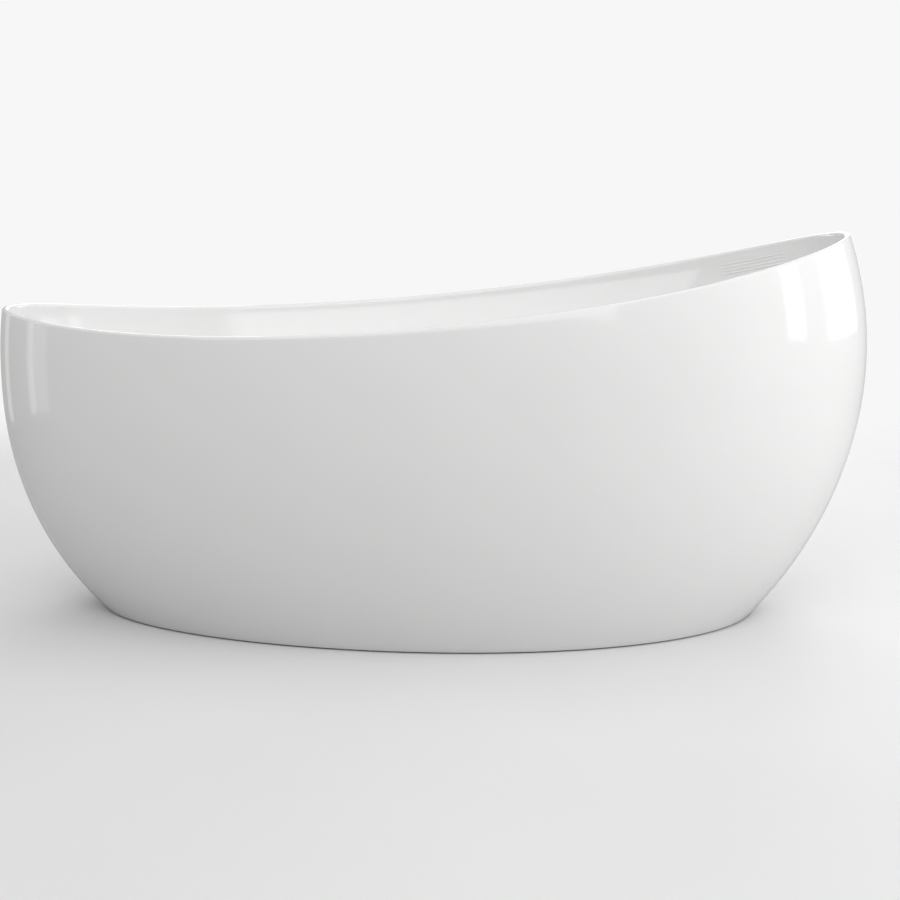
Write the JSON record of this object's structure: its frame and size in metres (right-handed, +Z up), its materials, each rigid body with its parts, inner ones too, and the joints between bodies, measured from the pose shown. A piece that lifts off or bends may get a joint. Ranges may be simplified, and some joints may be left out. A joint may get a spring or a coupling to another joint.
{
  "type": "freestanding bathtub",
  "caption": "Egg-shaped freestanding bathtub, higher at the head end, with a bonded skirt, levelling feet, a rotary pop-up waste, an overflow and a trap.",
  "frame": {"origin": "on the floor, under the middle of the bathtub's length and width", "axes": "+X towards the high head end, +Y towards the overflow side, +Z up"},
  "size_m": [1.8998, 0.9495, 0.8342],
  "materials": {
    "white_acrylic": "polished sanitary acrylic",
    "adhesive": "cured bonding paste",
    "plywood": "raw birch plywood",
    "timber": "raw softwood",
    "rail_steel": "grey powder coat",
    "zinc_steel": "bright zinc plate",
    "chrome": "polished chrome plate",
    "brass": "turned brass",
    "black_rubber": "moulded rubber",
    "pad_rubber": "ribbed rubber",
    "grey_plastic": "moulded polypropylene",
    "white_plastic": "moulded acetal",
    "black_plastic": "moulded or extruded plastic",
    "hose_plastic": "corrugated soft plastic"
  },
  "bodies": {
    "root": {"basin": "white_acrylic", "skirt": "white_acrylic", "rim_adhesive": "adhesive", "floor_board": "plywood", "board_screws": "zinc_steel", "block_screws": "zinc_steel", "foot_inserts": "zinc_steel", "foot_lock_nuts": "zinc_steel", "waste_gasket_upper": "black_rubber", "waste_flange": "chrome", "waste_gasket_lower": "black_rubber", "waste_body": "grey_plastic", "waste_spider": "white_plastic", "lift_lever_pin": "zinc_steel", "trap_body": "grey_plastic", "trap_seal": "black_rubber", "trap_nut": "black_plastic", "outlet_bend": "grey_plastic", "overflow_faceplate": "chrome", "overflow_gasket": "black_rubber", "overflow_housing": "grey_plastic", "overflow_bearing": "white_plastic", "overflow_screws": "zinc_steel", "overflow_hose": "hose_plastic", "hose_clips": "zinc_steel", "control_cable": "black_plastic", "rail_foot_end": "rail_steel", "skirt_block_foot_end_front": "timber", "skirt_block_foot_end_rear": "timber", "rail_middle": "rail_steel", "skirt_block_middle_front": "timber", "skirt_block_middle_rear": "timber", "rail_head_end": "rail_steel", "skirt_block_head_end_front": "timber", "skirt_block_head_end_rear": "timber"},
    "plug": {"plug_cap": "chrome", "plug_seal": "black_rubber", "plug_stem": "brass"},
    "lifter": {"lift_lever": "white_plastic"},
    "knob": {"overflow_knob": "chrome", "knob_spindle": "brass", "cable_drum": "white_plastic"},
    "foot_foot_end_front": {"foot_stud_foot_end_front": "zinc_steel", "foot_pad_foot_end_front": "pad_rubber"},
    "foot_foot_end_rear": {"foot_stud_foot_end_rear": "zinc_steel", "foot_pad_foot_end_rear": "pad_rubber"},
    "foot_middle_front": {"foot_stud_middle_front": "zinc_steel", "foot_pad_middle_front": "pad_rubber"},
    "foot_middle_rear": {"foot_stud_middle_rear": "zinc_steel", "foot_pad_middle_rear": "pad_rubber"},
    "foot_head_end_front": {"foot_stud_head_end_front": "zinc_steel", "foot_pad_head_end_front": "pad_rubber"},
    "foot_head_end_rear": {"foot_stud_head_end_rear": "zinc_steel", "foot_pad_head_end_rear": "pad_rubber"}
  },
  "joints": [
    {"name": "knob_turn", "type": "hinge", "parent": "root", "child": "knob", "pos_m": [0, 0.42354, 0.535], "axis": [0.0127, -0.9464, 0.3227], "range_deg": [0, 135]},
    {"name": "plug_lift", "type": "slide", "parent": "root", "child": "plug", "axis": [0, 0, 1], "range_m": [0, 0.011]},
    {"name": "lever_swing", "type": "hinge", "parent": "root", "child": "lifter", "pos_m": [-0.019, 0, 0.113], "axis": [0, -1, 0], "range_deg": [0, 30]},
    {"name": "foot_foot_end_front_height", "type": "slide", "parent": "root", "child": "foot_foot_end_front", "axis": [0, 0, -1], "range_m": [-0.01, 0.015]},
    {"name": "foot_foot_end_rear_height", "type": "slide", "parent": "root", "child": "foot_foot_end_rear", "axis": [0, 0, -1], "range_m": [-0.01, 0.015]},
    {"name": "foot_middle_front_height", "type": "slide", "parent": "root", "child": "foot_middle_front", "axis": [0, 0, -1], "range_m": [-0.01, 0.015]},
    {"name": "foot_middle_rear_height", "type": "slide", "parent": "root", "child": "foot_middle_rear", "axis": [0, 0, -1], "range_m": [-0.01, 0.015]},
    {"name": "foot_head_end_front_height", "type": "slide", "parent": "root", "child": "foot_head_end_front", "axis": [0, 0, -1], "range_m": [-0.01, 0.015]},
    {"name": "foot_head_end_rear_height", "type": "slide", "parent": "root", "child": "foot_head_end_rear", "axis": [0, 0, -1], "range_m": [-0.01, 0.015]}
  ],
  "couplings": [
    {"joint": "plug_lift", "follows": "knob_turn", "m_per_rad": 0.004668},
    {"joint": "lever_swing", "follows": "knob_turn", "ratio": 0.2222}
  ]
}
